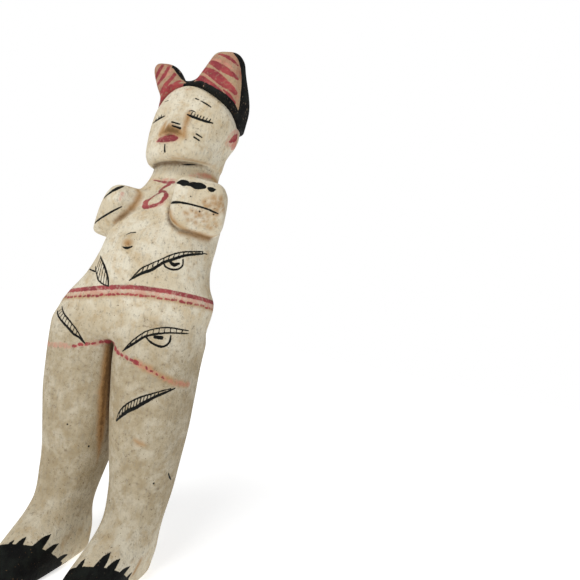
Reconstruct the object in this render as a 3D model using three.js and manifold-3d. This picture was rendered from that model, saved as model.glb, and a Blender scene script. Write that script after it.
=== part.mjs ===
// Carved and painted wooden fertility doll, standing on its soles.
// Millimetres, +Z up, the doll faces -Y and its left side is +X. Places are given from the spot between
// its heels, and at the end the whole doll moves so that the origin is the middle of its bounding box's floor.
// The doll is one carving, so its nodes are the carver's masses, parted by a narrow SEAM at each crease.
import * as THREE from "three";
import { mergeVertices } from "three/addons/utils/BufferGeometryUtils.js";
import Module from "manifold-3d";

const wasm = await Module();
wasm.setup();

// Driving dimensions: heights above the floor.
const ANKLE = 24;
const CROTCH = 102;
const BAND_BOTTOM = 113;
const BAND_TOP = 121;
const NECK_BASE = 171;
const JAW = 185.2;
const CREST_BASE = 214;
const CROWN = 229;
const LOW_CREST_TOP = 233.5;
const CREST_TOP = 241;

const SEAM = 0.3; // gap between two masses that touch
const HAIR_RELIEF = 0.9; // how far the hair stands out of the face
const HEAD_X = 5; // the head sits to the left of the feet's middle
const HEAD_Y = 5; // and behind it
const SIDES = 36;
const RING_STEP = 5; // height of one ring of a carved mass

// A smooth curve through (height, value) pairs, flat beyond its ends.
function track(...pairs) {
  return (z) => {
    const last = pairs.length - 1;
    if (z <= pairs[0][0]) return pairs[0][1];
    if (z >= pairs[last][0]) return pairs[last][1];
    const i = pairs.findIndex((p) => p[0] > z) - 1;
    const slope = (k) => {
      if (k <= 0 || k >= last) return 0;
      return (pairs[k + 1][1] - pairs[k - 1][1]) / (pairs[k + 1][0] - pairs[k - 1][0]);
    };
    const h = pairs[i + 1][0] - pairs[i][0];
    const t = (z - pairs[i][0]) / h;
    const endSlope = (k) => {
      if (k > 0 && k < last) return slope(k);
      return (pairs[i + 1][1] - pairs[i][1]) / h;
    };
    const t2 = t * t;
    const t3 = t2 * t;
    return (
      (2 * t3 - 3 * t2 + 1) * pairs[i][1] +
      (t3 - 2 * t2 + t) * h * endSlope(i) +
      (3 * t2 - 2 * t3) * pairs[i + 1][1] +
      (t3 - t2) * h * endSlope(i + 1)
    );
  };
}

const at = (value, z) => (typeof value === "function" ? value(z) : value);
const rounded = (c, squareness) => Math.sign(c) * Math.abs(c) ** (2 / squareness);

// A mass carved along Z: at each height, a rounded section reaches left, right, front and back of its centre.
// A section can climb towards the doll's left by its slant, and towards the back by its rise.
function carve(from, to, shape, grow = 0) {
  const rings = Math.max(2, Math.round((to - from) / RING_STEP));
  const geometry = new THREE.CylinderGeometry(1, 1, 1, SIDES, rings);
  const position = geometry.getAttribute("position");
  for (let i = 0; i < position.count; i++) {
    const z = from + (position.getY(i) + 0.5) * (to - from);
    const radius = Math.hypot(position.getX(i), position.getZ(i)) > 0.5 ? 1 : 0;
    const angle = Math.atan2(position.getZ(i), position.getX(i));
    const squareness = at(shape.squareness ?? 2, z);
    const across = radius * rounded(Math.cos(angle), squareness);
    const along = radius * rounded(Math.sin(angle), squareness);
    const halfX = at(across > 0 ? shape.left : (shape.right ?? shape.left), z) + grow;
    const halfY = at(along > 0 ? shape.front : shape.back, z) + grow;
    const climb = across * halfX * at(shape.slant ?? 0, z) - along * halfY * at(shape.rise ?? 0, z);
    position.setXYZ(i, at(shape.x ?? 0, z) + across * halfX, at(shape.y ?? 0, z) - along * halfY, z + climb);
  }
  return closed(geometry);
}

// A rounded block, from an ellipsoid to nearly a box as its squareness grows.
function pebble(halfX, halfY, halfZ, squareness = 2, detail = 20) {
  const geometry = new THREE.SphereGeometry(1, detail, Math.round(detail * 0.7));
  const position = geometry.getAttribute("position");
  for (let i = 0; i < position.count; i++) {
    const v = new THREE.Vector3().fromBufferAttribute(position, i);
    const norm =
      (Math.abs(v.x) ** squareness + Math.abs(v.y) ** squareness + Math.abs(v.z) ** squareness) **
      (1 / squareness);
    v.divideScalar(norm);
    position.setXYZ(i, v.x * halfX, v.y * halfY, v.z * halfZ);
  }
  return closed(geometry);
}

// Keeps only positions and shares them, so that the faces form one closed surface that faces out.
function closed(geometry) {
  geometry.deleteAttribute("normal");
  geometry.deleteAttribute("uv");
  const merged = mergeVertices(geometry, 1e-4);
  const solid = solidOf(merged);
  if (solid.volume() > 0) return merged;
  const index = merged.index.array;
  for (let i = 0; i < index.length; i += 3) {
    [index[i + 1], index[i + 2]] = [index[i + 2], index[i + 1]];
  }
  return merged;
}

function solidOf(geometry) {
  return new wasm.Manifold(
    new wasm.Mesh({
      numProp: 3,
      vertProperties: new Float32Array(geometry.getAttribute("position").array),
      triVerts: new Uint32Array(geometry.index.array),
    }),
  );
}

function geometryOf(solid) {
  const mesh = solid.getMesh();
  return new THREE.BufferGeometry()
    .setAttribute("position", new THREE.BufferAttribute(mesh.vertProperties, 3))
    .setIndex(new THREE.BufferAttribute(mesh.triVerts, 1));
}

// Materials.
const paint = (color, roughness) => new THREE.MeshStandardMaterial({ color, roughness, metalness: 0 });
const whitened = paint(0xcbbfa6, 0.85);
const blackened = paint(0x1d1b19, 0.6);
const striped = paint(0xb9534d, 0.75);
const reddened = paint(0xb35a4e, 0.75);
const pink = paint(0xc98077, 0.8);

const doll = new THREE.Group();

function add(name, geometry, material) {
  const mesh = new THREE.Mesh(geometry, material);
  mesh.name = name;
  doll.add(mesh);
}

// Trunk: hips, waist band, torso and neck are slices of one shape. The belly stands forward of the neck.
const trunk = {
  x: track([CROTCH, -2.5], [120, -0.5], [140, 2.5], [165, 4], [183, 5]),
  y: track([CROTCH, -2], [125, -1], [145, 0.5], [165, 4], [183, 6.5]),
  slant: track([CROTCH, 0], [BAND_BOTTOM, 0.1], [BAND_TOP, 0.1], [150, 0]),
  left: track([CROTCH, 36.4], [119, 36], [128, 31], [138, 27.5], [150, 26], [163, 24], [172, 17.5], [183, 16]),
  right: track([CROTCH, 34], [112, 34.5], [119, 32], [128, 25.5], [138, 22.8], [163, 23], [172, 17], [183, 15]),
  front: track([CROTCH, 17], [120, 20], [135, 21.5], [148, 20.5], [160, 17.5], [170, 15.5], [183, 14]),
  back: track([CROTCH, 21], [112, 23], [125, 20], [140, 16.5], [160, 17], [170, 15], [177, 11.8], [183, 9]),
  squareness: 2.35,
};
const navel = pebble(4.2, 2.6, 4.2, 2, 16).translate(-0.8, -20, 140.5);
const torso = solidOf(carve(BAND_TOP, NECK_BASE - SEAM, trunk)).add(solidOf(navel));
add("hips", carve(CROTCH, BAND_BOTTOM - SEAM, trunk), whitened);
add("waist_band", carve(BAND_BOTTOM, BAND_TOP - SEAM, trunk), reddened);
add("torso", geometryOf(torso), whitened);

// Legs and feet: each foot is the lower slice of its leg, drawn out to the front.
const legMiddle = track([0, 3], [30, 3], [50, 2.8], [75, 0.6], [CROTCH, -2.2]);
function leg(side) {
  const inner = track([0, 4.5], [10, 5], [22, 6.5], [36, 5.2], [50, 2.6], [66, 0.9], [80, 0.3], [CROTCH, 0.3]);
  const top = 35 + side * 1.5; // the left hip is the wider one
  const outer = track([0, 27.5], [10, 28.5], [24, 29.2], [36, 30.5], [50, 31.5], [72, 34], [CROTCH, top]);
  return {
    x: (z) => legMiddle(z) + side * (inner(z) + outer(z)) * 0.5,
    y: track([0, 1], [40, 1], [CROTCH, -2]),
    left: (z) => (outer(z) - inner(z)) * 0.5,
    front: track([0, 36], [7, 34], [13, 26], [19, 18.5], [26, 13.5], [36, 13], [60, 16.5], [CROTCH, 17.5]),
    back: track([0, 13.5], [10, 14.5], [26, 12.5], [42, 15], [75, 19], [CROTCH, 21]),
    squareness: track([0, 2.8], [ANKLE, 2.3], [CROTCH, 2.6]),
  };
}
for (const [suffix, side] of [["left", 1], ["right", -1]]) {
  add("foot_" + suffix, carve(0, ANKLE - SEAM, leg(side)), whitened);
  add("leg_" + suffix, carve(ANKLE, CROTCH - SEAM, leg(side)), whitened);
}

// Skull: the face below and in front of the hairline, the hair above and behind it. The jaw climbs to the left.
const skull = {
  x: HEAD_X,
  y: HEAD_Y,
  slant: track([JAW, 0.13], [JAW + 16, 0]),
  rise: track([JAW, 0.1], [JAW + 16, 0]),
  left: track([JAW, 17], [193, 17.6], [198, 19], [203, 20.6], [208, 21.2], [217, 19.5], [224, 15], [230, 6]),
  right: track([JAW, 17.3], [190, 18.8], [197, 19.3], [203, 19], [208, 18.5], [217, 16], [224, 12], [230, 6]),
  front: track([JAW, 18.5], [190, 19.8], [200, 20], [210, 18.5], [219, 15], [225, 11], [230, 5]),
  back: track([JAW, 11], [190, 12], [197, 14], [204, 17], [210, 19], [216, 19], [225, 13], [230, 5]),
  squareness: 2.3,
};
const HAIRLINE_TILT = 0.47; // radians that the hairline falls from the forehead to the ears
const HAIRLINE_HEIGHT = 210.5; // where it crosses the skull's axis
const NAPE_HEIGHT = 209.5; // where it runs level round the back
function behindHairline(gap) {
  const halfSpace = () => new THREE.BoxGeometry(150, 150, 150).translate(0, 0, 75 + gap);
  const front = halfSpace().rotateX(-HAIRLINE_TILT).translate(HEAD_X, HEAD_Y, HAIRLINE_HEIGHT);
  const back = halfSpace().translate(HEAD_X, HEAD_Y, NAPE_HEIGHT);
  return solidOf(closed(front)).intersect(solidOf(closed(back)));
}
const nose = pebble(4.2, 4.6, 6.5, 1.8, 16).rotateX(-0.3).translate(HEAD_X, HEAD_Y - 19.5, 198.5);
const lips = pebble(4.9, 2.3, 1.7, 2, 12).rotateY(-0.25).translate(HEAD_X - 1.7, HEAD_Y - 19, 191.1);
const face = solidOf(carve(JAW, CROWN, skull)).add(solidOf(nose)).add(solidOf(lips));
add("head", geometryOf(face.subtract(behindHairline(-SEAM))), whitened);

// Neck: it ends under the jaw.
const skullRoom = solidOf(carve(JAW - SEAM, CROWN, skull, HAIR_RELIEF + SEAM));
const neck = solidOf(carve(NECK_BASE, JAW + 5, trunk)).subtract(skullRoom);
add("neck", geometryOf(neck), whitened);

// Arm stubs: two blocks that stand out of the chest. The right one is cut to a wedge with flat faces.
const ARMS = {
  left: {
    half: [11.3, 11.2, 11.6],
    place: [23, -8, 164],
    turn: 0.3, // radians that its front swings to the doll's left
    droop: 0.1, // radians that its front hangs
    roll: 0, // radians that its right end hangs
    cuts: [
      { point: [19.5, -19.5, 152.8], out: [0.6, -0.5, -0.63] },
      { point: [14.4, -18, 154.9], out: [-0.69, 0, -0.72] },
    ],
  },
  right: {
    half: [17.5, 9.2, 11],
    place: [-19.4, -7, 157],
    turn: -0.5,
    droop: 0.2,
    roll: 0.6,
    cuts: [
      { point: [-23.8, -15.3, 150], out: [-0.87, -0.5, 0.1] },
      { point: [-16, -15, 144.9], out: [0, 0, -1] },
      { point: [-15, -18, 163.4], out: [-0.65, 0.2, 0.76] },
      { point: [-8.5, -17, 168.8], out: [0.2, -0.05, 0.97] },
      { point: [-8.1, -20, 156], out: [0.8, -0.6, -0.65] },
    ],
  },
};
const trunkRoom = solidOf(carve(BAND_TOP, JAW + 7, trunk, SEAM));
for (const [suffix, arm] of Object.entries(ARMS)) {
  const block = pebble(...arm.half, 4.5, 22);
  block.rotateY(-arm.roll).rotateX(arm.droop).rotateZ(arm.turn).translate(...arm.place);
  let stub = solidOf(block);
  for (const { point, out } of arm.cuts) {
    const away = new THREE.Vector3(...out).normalize();
    const offset = away.dot(new THREE.Vector3(...point));
    stub = stub.trimByPlane([-away.x, -away.y, -away.z], -offset);
  }
  add("arm_" + suffix, geometryOf(stub.subtract(trunkRoom)), whitened);
}

// Hair: a cap over the skull, with two lobes that rise from it and lean outward, and a notch between them.
// A lobe leans from its foot to its tip, and its half widths are given at foot, middle and tip.
const LOBES = [
  { side: 1, top: CREST_TOP, lean: [10, 14.3], inner: [14, 14.5, 9.5], outer: [12, 13.8, 8] },
  { side: -1, top: LOW_CREST_TOP, lean: [8, 18.5], inner: [12, 13.5, 9], outer: [8.5, 7.5, 6.6] },
];
const LOBE_FOOT = 206; // the lobes start inside the cap
let hair = solidOf(carve(JAW, CROWN, skull, HAIR_RELIEF));
for (const { side, top, lean, inner, outer } of LOBES) {
  const widths = (half) => track([LOBE_FOOT, half[0]], [220, half[1]], [top - 5, half[2]], [top, half[2] - 2]);
  const lobe = {
    x: track([210, HEAD_X + side * lean[0]], [top, HEAD_X + side * lean[1]]),
    y: track([LOBE_FOOT, HEAD_Y], [CREST_TOP, HEAD_Y - 8]),
    left: widths(side > 0 ? outer : inner),
    right: widths(side > 0 ? inner : outer),
    front: track([LOBE_FOOT, 12], [220, 13], [top - 8, 9], [top, 5]),
    back: track([LOBE_FOOT, 12], [220, 14], [top - 8, 8], [top, 4]),
    squareness: 2.6,
  };
  hair = hair.add(solidOf(carve(LOBE_FOOT, top, lobe)));
}
hair = hair.intersect(behindHairline(0));
add("hair_cap", geometryOf(hair.trimByPlane([0, 0, -1], -(CREST_BASE - SEAM))), blackened);
const crests = hair.trimByPlane([0, 0, 1], CREST_BASE);
add("crest_left", geometryOf(crests.trimByPlane([1, 0, 0], HEAD_X + SEAM / 2)), striped);
add("crest_right", geometryOf(crests.trimByPlane([-1, 0, 0], -(HEAD_X - SEAM / 2))), striped);

// Ears: low reliefs on the sides of the head, under the hair.
const EAR_HEIGHT = 204.2;
const faceRoom = solidOf(carve(JAW, CROWN, skull, SEAM));
for (const [suffix, side, reach] of [["left", 1, 19.9], ["right", -1, 18.2]]) {
  const ear = pebble(2.2, 2.4, 4.6, 2.3, 12);
  ear.rotateX(0.35).translate(HEAD_X + side * reach, HEAD_Y + 2, EAR_HEIGHT);
  add("ear_" + suffix, geometryOf(solidOf(ear).subtract(faceRoom).subtract(behindHairline(-SEAM))), pink);
}

// The origin is the middle of the floor under the bounding box.
const bounds = new THREE.Box3().setFromObject(doll);
const middle = bounds.getCenter(new THREE.Vector3());
doll.position.set(-middle.x, -middle.y, -bounds.min.z);

export default doll;
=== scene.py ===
import math

import bmesh
import bpy
import numpy as np
import openvdb
from mathutils import Matrix, Vector


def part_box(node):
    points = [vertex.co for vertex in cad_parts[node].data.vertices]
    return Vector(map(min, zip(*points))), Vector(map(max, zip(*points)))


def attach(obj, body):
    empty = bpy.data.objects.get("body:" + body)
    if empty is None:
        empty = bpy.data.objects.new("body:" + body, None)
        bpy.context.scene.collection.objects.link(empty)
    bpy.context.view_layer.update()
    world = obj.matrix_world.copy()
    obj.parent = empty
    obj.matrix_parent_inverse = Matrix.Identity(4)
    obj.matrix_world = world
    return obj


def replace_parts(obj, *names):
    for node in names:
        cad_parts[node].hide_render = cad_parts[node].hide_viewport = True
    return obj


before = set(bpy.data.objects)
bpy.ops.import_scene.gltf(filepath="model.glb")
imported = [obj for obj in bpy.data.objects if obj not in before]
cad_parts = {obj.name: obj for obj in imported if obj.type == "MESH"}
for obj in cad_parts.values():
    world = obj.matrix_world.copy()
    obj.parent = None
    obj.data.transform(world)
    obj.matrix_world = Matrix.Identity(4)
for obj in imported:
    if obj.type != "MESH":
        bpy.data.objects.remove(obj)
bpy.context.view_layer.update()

# The doll is sculpted in millimetres, from the spot on the floor between its heels.
# It faces -Y and its left is +X.
MM = 0.001
FEET_MIDDLE = 3.0  # the feet stand this far to the left of the spot
TOE_REACH = 35.0  # and their toes this far in front of it


def level(node, side):
    """The lowest (0) or highest (1) level of a CAD node, in millimetres."""
    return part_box(node)[side].z / MM


feet_low, feet_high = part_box("foot_right")[0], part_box("foot_left")[1]
SPOT = Vector(((feet_low.x + feet_high.x) / 2 - FEET_MIDDLE * MM, feet_low.y + TOE_REACH * MM, 0))
ANKLE = level("leg_left", 0)
CROTCH = level("hips", 0)
NECK_BASE = level("neck", 0)
NECK_TOP = NECK_BASE + 22  # inside the head
JAW = 185.2
CREST_BASE = 214.0
CROWN = 229.0
CREST_TOP = level("crest_left", 1)
LOW_CREST_TOP = level("crest_right", 1)
BAND_SLANT = 0.1  # the waist band rises towards the doll's left
BAND_TOP = 121.0
BAND_BOTTOM = 113.0
HEAD_X, HEAD_Y = 5.0, 5.0  # the middle of the head
EYES = 201.5
HAIR_RELIEF = 0.9  # how far the hair stands out of the face


# ---- sculpting

def track(z, *pairs):
    """A smooth curve through (height, value) pairs, evaluated at the heights z and flat beyond its ends."""
    heights = np.array([p[0] for p in pairs], float)
    values = np.array([p[1] for p in pairs], float)
    slopes = np.zeros(len(pairs))
    slopes[1:-1] = (values[2:] - values[:-2]) / (heights[2:] - heights[:-2])
    z = np.clip(z, heights[0], heights[-1])
    i = np.clip(np.searchsorted(heights, z, side="right") - 1, 0, len(pairs) - 2)
    h = heights[i + 1] - heights[i]
    t = (z - heights[i]) / h
    return (
        (2 * t**3 - 3 * t**2 + 1) * values[i]
        + (t**3 - 2 * t**2 + t) * h * slopes[i]
        + (3 * t**2 - 2 * t**3) * values[i + 1]
        + (t**3 - t**2) * h * slopes[i + 1]
    )


def join(a, b, blend):
    """The union of two solids, rounded over a width of blend where they meet."""
    h = np.clip(blend - np.abs(a - b), 0, None)
    return np.minimum(a, b) - h * h / (4 * blend)


def cut(a, b, blend):
    """What is left of a inside b, with a rounded edge."""
    return -join(-a, -b, blend)


def loft(x, y, z, middle, depth, left, right, front, back, squareness):
    """Distance to a column whose level sections are rounded boxes.

    They reach left and right of its middle, and front and back of its depth.
    """
    dx = x - middle
    dy = depth - y
    ax = np.where(dx > 0, left, right)
    ay = np.where(dy > 0, front, back)
    k = ((np.abs(dx) / ax) ** squareness + (np.abs(dy) / ay) ** squareness) ** (1 / squareness)
    reach = np.hypot(dx, dy) / np.maximum(k, 1e-4)
    return (k - 1) * np.where(k > 1e-3, reach, np.minimum(ax, ay))


def pebble(x, y, z, centre, half, squareness=2.0, turn=0.0, droop=0.0, roll=0.0):
    """Distance to a rounded block.

    turn swings its front towards the doll's left, droop lowers its front, and roll lowers its right end.
    """
    px, py, pz = x - centre[0], y - centre[1], z - centre[2]
    px, py = px * math.cos(turn) + py * math.sin(turn), py * math.cos(turn) - px * math.sin(turn)
    py, pz = py * math.cos(droop) + pz * math.sin(droop), pz * math.cos(droop) - py * math.sin(droop)
    px, pz = px * math.cos(roll) + pz * math.sin(roll), pz * math.cos(roll) - px * math.sin(roll)
    k = (
        (np.abs(px) / half[0]) ** squareness
        + (np.abs(py) / half[1]) ** squareness
        + (np.abs(pz) / half[2]) ** squareness
    ) ** (1 / squareness)
    reach = np.sqrt(px * px + py * py + pz * pz) / np.maximum(k, 1e-4)
    return (k - 1) * np.where(k > 1e-3, reach, min(half))


class Clay:
    """A block of space on a regular grid, from its low to its high corner."""

    def __init__(self, low, high, step):
        self.low = np.array(low, float)
        self.step = step
        self.count = np.ceil((np.array(high, float) - self.low) / step).astype(int) + 1
        axes = [self.low[i] + step * np.arange(self.count[i]) for i in range(3)]
        self.x = axes[0][:, None, None]
        self.y = axes[1][None, :, None]
        self.z = axes[2][None, None, :]

    def wobble(self, size, amount, seed):
        """Soft random waves of about that size and height."""
        rng = np.random.default_rng(seed)
        weights = []
        for n in self.count:
            knots = int(math.ceil(n * self.step / size)) + 3
            u = np.arange(n) * self.step / size + 1
            d = np.abs(u[:, None] - np.arange(knots)[None, :])
            weights.append(np.where(d < 1, (4 - 6 * d**2 + 3 * d**3) / 6, np.clip(2 - d, 0, None) ** 3 / 6))
        coarse = rng.standard_normal([w.shape[1] for w in weights])
        fine = np.einsum("abc,ia->ibc", coarse, weights[0])
        fine = np.einsum("ibc,jb->ijc", fine, weights[1])
        return amount * 2 * np.einsum("ijc,kc->ijk", fine, weights[2])

    def regrid(self, other, field):
        """Another clay's field on this grid."""
        for axis in range(3):
            u = (self.low[axis] + self.step * np.arange(self.count[axis]) - other.low[axis]) / other.step
            u = np.clip(u, 0, other.count[axis] - 1)
            i = np.minimum(u.astype(int), other.count[axis] - 2)
            share = (u - i).reshape([-1 if a == axis else 1 for a in range(3)])
            field = np.take(field, i, axis) * (1 - share) + np.take(field, i + 1, axis) * share
        return field

    def sample(self, field, points):
        """The field's value at each point."""
        p = np.clip((points - self.low) / self.step, 0, self.count - 1)
        i = np.minimum(p.astype(int), self.count - 2)
        f = p - i
        total = 0
        for corner in range(8):
            c = np.array([corner & 1, corner >> 1 & 1, corner >> 2 & 1])
            w = np.prod(np.where(c, f, 1 - f), axis=1)
            j = i + c
            total = total + w * field[j[:, 0], j[:, 1], j[:, 2]]
        return total

    def normals(self, field, points):
        """The direction out of the solid at each point."""
        nudges = np.eye(3) * self.step
        rises = [self.sample(field, points + d) - self.sample(field, points - d) for d in nudges]
        gradient = np.stack(rises, axis=1)
        return gradient / np.maximum(np.linalg.norm(gradient, axis=1, keepdims=True), 1e-9)

    def hollows(self, field, radius):
        """How deep each place lies in a hollow of that radius. Creases are positive, ridges negative."""
        n = max(1, int(round(radius / self.step)))
        soft = np.clip(field, -2 * radius, 2 * radius)
        for axis in range(3):
            width = 2 * n + 1
            padded = np.pad(soft, [(n + 1, n) if a == axis else (0, 0) for a in range(3)], mode="edge")
            total = np.cumsum(padded, axis=axis)
            size = soft.shape[axis]
            ahead = np.take(total, range(width, width + size), axis)
            soft = (ahead - np.take(total, range(size), axis)) / width
        return field - soft

    def surface(self, field):
        """The solid's skin as points and four-sided faces."""
        grid = openvdb.FloatGrid(background=3.0)
        grid.copyFromArray(np.clip(field / self.step, -3, 3).astype(np.float32), tolerance=0.0)
        points, quads = grid.convertToQuads(isovalue=0.0)
        return np.asarray(points, float) * self.step + self.low, np.asarray(quads)


CREASE_RADIUS = 2.5  # millimetres, of the hollows that are darkened with grime and painted shade


class Carving:
    """A sculpted solid, from which pieces are cut. Its skin is shaded as part of the whole figure."""

    def __init__(self, clay, field, whole=None):
        self.clay = clay
        self.field = field
        self.whole = field if whole is None else whole
        self.points, self.quads = clay.surface(field)
        # How deep the skin lies in hollows, which the paint darkens with grime and painted shade.
        self.grime_and_shade = clay.hollows(self.whole, CREASE_RADIUS)
        a, b, c = (self.points[self.quads[:, i]] for i in (0, 1, 2))
        outward = self.clay.normals(field, a)
        if np.sum(np.cross(b - a, c - a) * outward) < 0:
            self.quads = self.quads[:, ::-1]

    def piece(self, name, material, planes, slot, coat):
        """The part of the carving behind every plane, each a (point, direction away from the part)."""
        keep = np.ones(len(self.quads), bool)
        for point, away in planes:
            side = (self.points - np.array(point)) @ np.array(away, float)
            keep &= (side[self.quads] < 2 * self.clay.step).any(axis=1)
        used, index = np.unique(self.quads[keep], return_inverse=True)
        mesh = bpy.data.meshes.new(name)
        mesh.from_pydata(self.points[used].tolist(), [], index.reshape(-1, 4).tolist())
        work = bmesh.new()
        work.from_mesh(mesh)
        for point, away in planes:
            everything = work.verts[:] + work.edges[:] + work.faces[:]
            done = bmesh.ops.bisect_plane(
                work, geom=everything, dist=1e-4, plane_co=point, plane_no=away, clear_outer=True
            )
            rim = [e for e in done["geom_cut"] if isinstance(e, bmesh.types.BMEdge)]
            bmesh.ops.edgeloop_fill(work, edges=rim)
        work.verts.index_update()
        near = coat.edging(np.array([v.co[:] for v in work.verts]))
        rims = [e for e in work.edges if near[e.verts[0].index] and near[e.verts[1].index]]
        bmesh.ops.subdivide_edges(work, edges=rims, cuts=1, use_grid_fill=True)
        bmesh.ops.recalc_face_normals(work, faces=work.faces)
        work.to_mesh(mesh)
        work.free()
        points = np.zeros(len(mesh.vertices) * 3)
        mesh.vertices.foreach_get("co", points)
        points = points.reshape(-1, 3)
        # How deep each point lies in a hollow, which the paint darkens with grime and painted shade.
        grime_and_shade = mesh.attributes.new("grime_and_shade", "FLOAT", "POINT")
        grime_and_shade.data.foreach_set("value", self.clay.sample(self.grime_and_shade, points).astype(np.float32))
        for paint in PAINTS:
            reach = mesh.attributes.new(paint, "FLOAT", "POINT")
            reach.data.foreach_set("value", coat.reach(paint, points).astype(np.float32))
        normals = self.clay.normals(self.whole, points)
        mesh.transform(Matrix.Translation(SPOT) @ Matrix.Scale(MM, 4))
        mesh.shade_smooth()
        mesh.normals_split_custom_set_from_vertices(normals.tolist())
        mesh.materials.append(material)
        made = bpy.data.objects.new(name, mesh)
        bpy.context.scene.collection.objects.link(made)
        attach(made, "root")
        return made


# ---- brush marks

# The stain paint is brown stain, and in some places painted shade.
PAINTS = ("black", "red", "pink", "stain")
FAR = 4.0  # millimetres from a mark beyond which distances are not told apart
EDGING = 0.6  # the mesh is finer this close to the edge of a mark
STRIDE = 0.5  # length of the steps that look for the skin


def flow(points, spacing=0.5, per_degree=0.35):
    """A smooth line through (angle or across, height, half width) points, as closely spaced points."""
    p = np.array(points, float)
    if len(p) == 1:
        return p
    ends = np.vstack([2 * p[0] - p[1], p, 2 * p[-1] - p[-2]])
    pieces = []
    for a, b, c, d in zip(ends, ends[1:], ends[2:], ends[3:]):
        count = 1 + int(math.hypot((c - b)[0] * per_degree, (c - b)[1]) / spacing)
        t = np.arange(count)[:, None] / count
        bend, twist = 2 * a - 5 * b + 4 * c - d, 3 * b - a - 3 * c + d
        pieces.append(0.5 * (2 * b + (c - a) * t + bend * t**2 + twist * t**3))
    return np.vstack(pieces + [p[-1:]])


class Coat:
    """The brush marks on one carving."""

    def __init__(self, carving):
        self.carving = carving
        self.marks = []
        self.areas = []

    def skin(self, starts, out):
        """Where the lines that leave the starts, inside the solid, come out of it."""
        steps = np.arange(0, 48, STRIDE)
        points = starts[:, None, :] + steps[None, :, None] * out[:, None, :]
        clay, field = self.carving.clay, self.carving.field
        depth = clay.sample(field, points.reshape(-1, 3)).reshape(len(starts), -1)
        last = np.maximum(np.argmax(depth > 0, axis=1), 1)
        rows = np.arange(len(starts))
        inside, outside = depth[rows, last - 1], depth[rows, last]
        share = np.clip(inside / (inside - outside), 0, 1)
        return starts + (steps[last - 1] + share * STRIDE)[:, None] * out

    def around(self, paint, axis, points):
        """A stroke through (degrees to the doll's left, height, half width), seen from an upright axis."""
        line = flow(points)
        angle = np.radians(line[:, 0])
        starts = np.stack([np.full(len(line), axis[0]), np.full(len(line), axis[1]), line[:, 1]], axis=1)
        out = np.stack([np.sin(angle), -np.cos(angle), np.zeros(len(line))], axis=1)
        self.marks.append((paint, self.skin(starts.astype(float), out), line[:, 2]))

    def brush(self, axis):
        """What lays a stroke of one paint through some points, round an upright axis."""
        return lambda paint, *points: self.around(paint, axis, points)

    def onto(self, paint, origin, across, up, points):
        """A stroke through (across, up, half width) in a plane, pushed out from there to the skin."""
        line = flow(points, per_degree=1.0)
        across, up = np.array(across, float), np.array(up, float)
        across /= np.linalg.norm(across)
        up = up - across * (up @ across)
        up /= np.linalg.norm(up)
        starts = np.array(origin, float) + line[:, :1] * across + line[:, 1:2] * up
        out = np.tile(np.cross(across, up), (len(line), 1))
        self.marks.append((paint, self.skin(starts, out), line[:, 2]))

    def slab(self, origin, across, up):
        """What lays a stroke of one paint through some points in a plane through the origin."""
        return lambda paint, *points: self.onto(paint, origin, across, up, points)

    def edging(self, points):
        """Which points lie close to the edge of a mark."""
        return np.any([np.abs(self.reach(paint, points)) < EDGING for paint in PAINTS], axis=0)

    def area(self, paint, reach):
        """Paint wherever reach(x, y, z) is negative."""
        self.areas.append((paint, reach))

    def reach(self, paint, points):
        """Each point's distance to the edge of the nearest mark of that paint, negative within the mark."""
        best = np.full(len(points), FAR)
        for kind, reach in self.areas:
            if kind == paint:
                best = np.minimum(best, reach(*points.T))
        for kind, line, radius in self.marks:
            if kind != paint:
                continue
            margin = 2.5 + max(0, radius.max())
            boxed = (points > line.min(0) - margin) & (points < line.max(0) + margin)
            near = np.flatnonzero(boxed.all(axis=1))
            p = points[near]
            for i in range(max(1, len(line) - 1)):
                j = min(i + 1, len(line) - 1)
                run = line[j] - line[i]
                share = np.clip((p - line[i]) @ run / max(run @ run, 1e-9), 0, 1)
                gap = np.linalg.norm(p - line[i] - share[:, None] * run, axis=1)
                best[near] = np.minimum(best[near], gap - radius[i] - (radius[j] - radius[i]) * share)
        return best


# ---- shapes

def trunk(x, y, z):
    """Hips, belly, chest and neck."""
    drop = np.interp(z, [CROTCH, BAND_BOTTOM, BAND_TOP, 150], [0, BAND_SLANT, BAND_SLANT, 0])
    z = z - x * drop
    column = loft(
        x, y, z,
        middle=track(z, (CROTCH, -2.5), (120, -0.5), (140, 2.5), (165, 4), (183, 5)),
        depth=track(z, (CROTCH, -2), (125, -1), (145, 0.5), (165, 4), (183, 6.5)),
        left=track(
            z, (95, 36), (105, 36.5), (119, 36), (128, 31), (138, 27.5), (150, 26), (163, 24), (172, 17.5),
            (183, 16.5),
        ),
        right=track(
            z, (95, 33.5), (112, 34.5), (119, 32), (128, 25.5), (138, 22.8), (150, 23), (163, 23),
            (172, 16.8), (183, 15.3),
        ),
        front=track(z, (CROTCH, 17), (120, 20), (135, 21.5), (148, 20.5), (160, 17.5), (170, 15.5), (183, 14)),
        back=track(
            z, (CROTCH, 21), (112, 23), (125, 20), (140, 16.5), (160, 17), (170, 15), (177, 11.8), (183, 9)
        ),
        squareness=2.35,
    )
    return cut(cut(column, CROTCH - 3 - z, 5), z - NECK_TOP, 1)


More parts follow.
